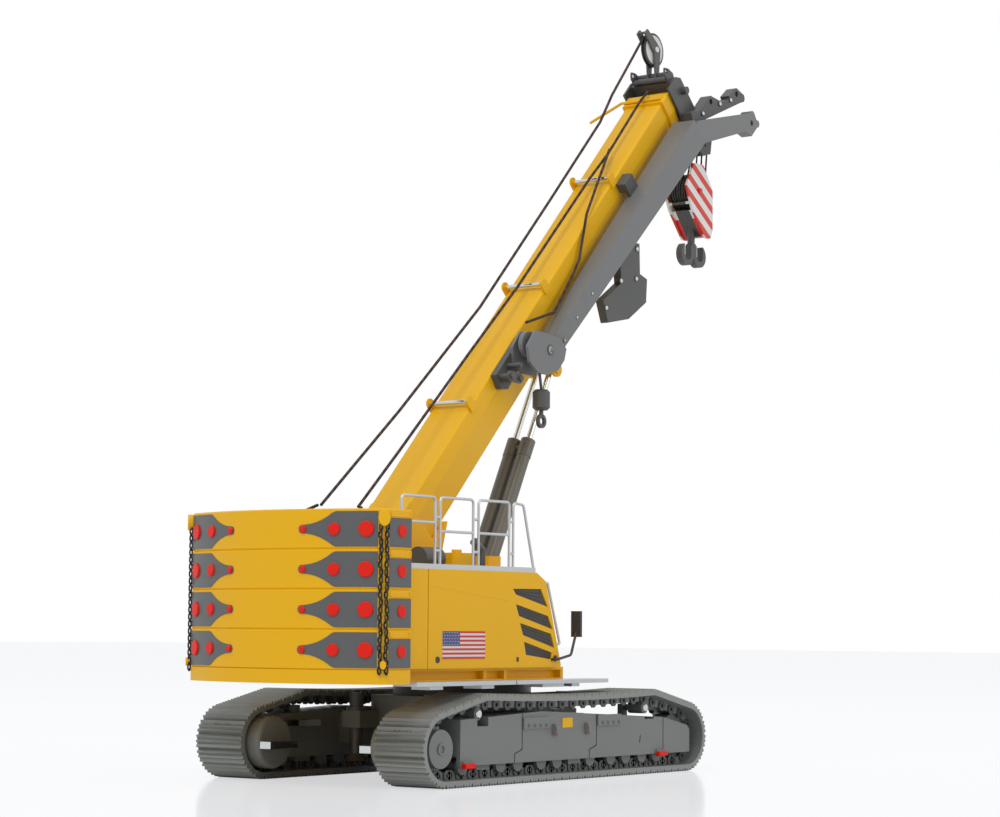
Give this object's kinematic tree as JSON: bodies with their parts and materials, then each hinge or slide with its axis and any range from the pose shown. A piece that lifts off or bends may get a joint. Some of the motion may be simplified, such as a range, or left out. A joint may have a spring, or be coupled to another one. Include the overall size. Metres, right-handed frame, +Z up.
{
  "type": "crawler crane scale model",
  "caption": "Scale model of a crawler crane: tracked base, slewing upper with cab and stacked counterweight, telescopic boom with a stowed side jib, hoist ropes and a hook block.",
  "frame": {"origin": "on the ground under the slew axis, midway between the tracks", "axes": "+X towards the machine's right, +Y forward under the boom, +Z up"},
  "size_m": [0.084, 0.2393, 0.2495],
  "materials": {
    "yellow_paint": "satin",
    "grey_paint": "satin",
    "silver_paint": "satin",
    "track_grey": "matte",
    "white_paint": "gloss",
    "dark_plastic": "matte",
    "bright_metal": "polished",
    "black_metal": "satin",
    "rope_cord": "twisted",
    "clear_glass": "clear"
  },
  "bodies": {
    "undercarriage": {"carbody": "grey_paint", "slew_ring": "grey_paint", "track_frame_left": "grey_paint", "track_frame_right": "grey_paint", "track_left": "track_grey", "track_right": "track_grey", "rollers_left": "track_grey", "rollers_right": "track_grey", "sprocket_left": "track_grey", "sprocket_right": "track_grey", "final_drives": "grey_paint", "jacks": "grey_paint", "steps": "bright_metal"},
    "superstructure": {"deck": "yellow_paint", "engine_housing": "yellow_paint", "left_housing": "yellow_paint", "boom_towers": "yellow_paint", "cab_shell": "yellow_paint", "cab_glass": "clear_glass", "cab_seat": "dark_plastic", "counterweight_tray": "yellow_paint", "counterweight_slab_1": "yellow_paint", "counterweight_slab_2": "yellow_paint", "counterweight_slab_3": "yellow_paint", "counterweight_slab_4": "yellow_paint", "ballast_chains": "black_metal", "handrails": "silver_paint", "catwalk": "silver_paint", "walkway": "silver_paint", "exhaust": "grey_paint", "deck_tanks": "yellow_paint", "mirror_arm": "yellow_paint", "winch_frame": "grey_paint", "upper_winch": "rope_cord", "lower_winch": "rope_cord", "cylinder_foot": "grey_paint"},
    "boom": {"boom_base": "yellow_paint", "rope_guides": "yellow_paint", "jib_arm": "grey_paint", "jib_foot": "grey_paint", "jib_brackets": "grey_paint", "stow_arm": "grey_paint", "overhaul_weight": "grey_paint", "hoist_ropes": "rope_cord"},
    "section_2": {"boom_section_2": "yellow_paint"},
    "section_3": {"boom_section_3": "yellow_paint"},
    "section_4": {"boom_section_4": "yellow_paint"},
    "head_section": {"boom_section_5": "yellow_paint", "boom_head": "grey_paint", "head_sheaves": "dark_plastic", "whip_sheave": "dark_plastic", "runner_bracket": "grey_paint"},
    "barrels": {"cylinder_barrels": "grey_paint"},
    "rods": {"cylinder_rods": "bright_metal"},
    "hook": {"hook_block": "white_paint", "block_sheaves": "dark_plastic", "hook_falls": "rope_cord", "ramshorn_hook": "black_metal"}
  },
  "joints": [
    {"name": "slew", "type": "hinge", "parent": "undercarriage", "child": "superstructure", "pos_m": [0, 0, 0.0285], "axis": [0, 0, 1], "continuous": true},
    {"name": "boom_luff", "type": "hinge", "parent": "superstructure", "child": "boom", "pos_m": [0, -0.024, 0.06], "axis": [1, 0, 0], "range_deg": [-46.3, 33.7]},
    {"name": "telescope_2", "type": "slide", "parent": "boom", "child": "section_2", "axis": [0, 0.6909, 0.723], "range_m": [0, 0.136]},
    {"name": "telescope_3", "type": "slide", "parent": "section_2", "child": "section_3", "axis": [0, 0.6909, 0.723], "range_m": [0, 0.136]},
    {"name": "telescope_4", "type": "slide", "parent": "section_3", "child": "section_4", "axis": [0, 0.6909, 0.723], "range_m": [0, 0.136]},
    {"name": "telescope_5", "type": "slide", "parent": "section_4", "child": "head_section", "axis": [0, 0.6909, 0.723], "range_m": [0, 0.136]},
    {"name": "cylinder_foot_pivot", "type": "hinge", "parent": "superstructure", "child": "barrels", "pos_m": [0, -0.0038, 0.037], "axis": [1, 0, 0], "range_deg": [-42.7, 31.1]},
    {"name": "cylinder_stroke", "type": "slide", "parent": "barrels", "child": "rods", "axis": [0, 0.4539, 0.891], "range_m": [-0.0233, 0.017]},
    {"name": "hook_plumb", "type": "hinge", "parent": "head_section", "child": "hook", "pos_m": [0, 0.13248, 0.21449], "axis": [1, 0, 0], "range_deg": [-33.8, 46.4]}
  ],
  "couplings": [
    {"joint": "telescope_3", "follows": "telescope_2", "ratio": 1},
    {"joint": "telescope_4", "follows": "telescope_2", "ratio": 1},
    {"joint": "telescope_5", "follows": "telescope_2", "ratio": 1},
    {"joint": "cylinder_foot_pivot", "follows": "boom_luff", "ratio": 0.92},
    {"joint": "cylinder_stroke", "follows": "boom_luff", "m_per_rad": 0.02865},
    {"joint": "hook_plumb", "follows": "boom_luff", "ratio": -1}
  ]
}
